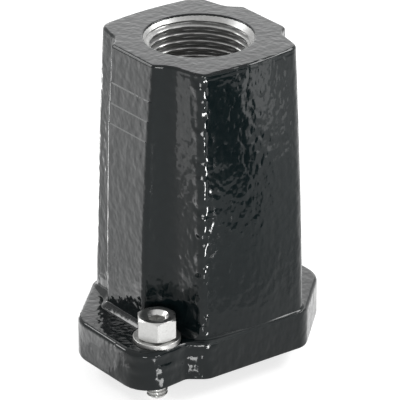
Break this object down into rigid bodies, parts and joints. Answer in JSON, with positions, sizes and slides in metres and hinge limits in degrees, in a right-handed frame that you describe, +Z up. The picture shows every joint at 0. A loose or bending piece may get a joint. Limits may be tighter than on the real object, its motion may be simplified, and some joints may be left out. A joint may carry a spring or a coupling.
{
  "type": "connector housing",
  "caption": "Tall die-cast connector hood in glossy black hammertone, with a threaded cable entry on top and a bolt flange at the foot that carries captive hex screws.",
  "frame": {"origin": "centre of the flange's mating face, on the axis of the cable entry and midway between the two screws", "axes": "+Z up along the cable entry, out of its mouth; X across the two bowed faces; Y across the two faces with a pilaster, along which the screw ears stand out"},
  "size_m": [0.0346, 0.049, 0.0659],
  "materials": {
    "coat": "glossy black hammertone powder coat",
    "seal": "matt black rubber",
    "screw_steel": "bright stainless steel",
    "washer_steel": "bright stainless steel",
    "ring_plastic": "natural polyamide"
  },
  "bodies": {
    "hood": {"hood_shell": "coat", "flange_seal": "seal", "front_washer": "washer_steel", "rear_washer": "washer_steel"},
    "front_retainer": {"front_ring": "ring_plastic"},
    "front_bolt": {"front_screw": "screw_steel"},
    "rear_retainer": {"rear_ring": "ring_plastic"},
    "rear_bolt": {"rear_screw": "screw_steel"}
  },
  "joints": [
    {"name": "front_screw_lift", "type": "slide", "parent": "hood", "child": "front_retainer", "axis": [0, 0, 1], "range_m": [0, 0.0039]},
    {"name": "front_screw_spin", "type": "hinge", "parent": "front_retainer", "child": "front_bolt", "pos_m": [0.0096, -0.0173, 0], "axis": [0, 0, 1], "continuous": true},
    {"name": "rear_screw_lift", "type": "slide", "parent": "hood", "child": "rear_retainer", "axis": [0, 0, 1], "range_m": [0, 0.0039]},
    {"name": "rear_screw_spin", "type": "hinge", "parent": "rear_retainer", "child": "rear_bolt", "pos_m": [-0.0096, 0.0173, 0], "axis": [0, 0, 1], "continuous": true}
  ]
}
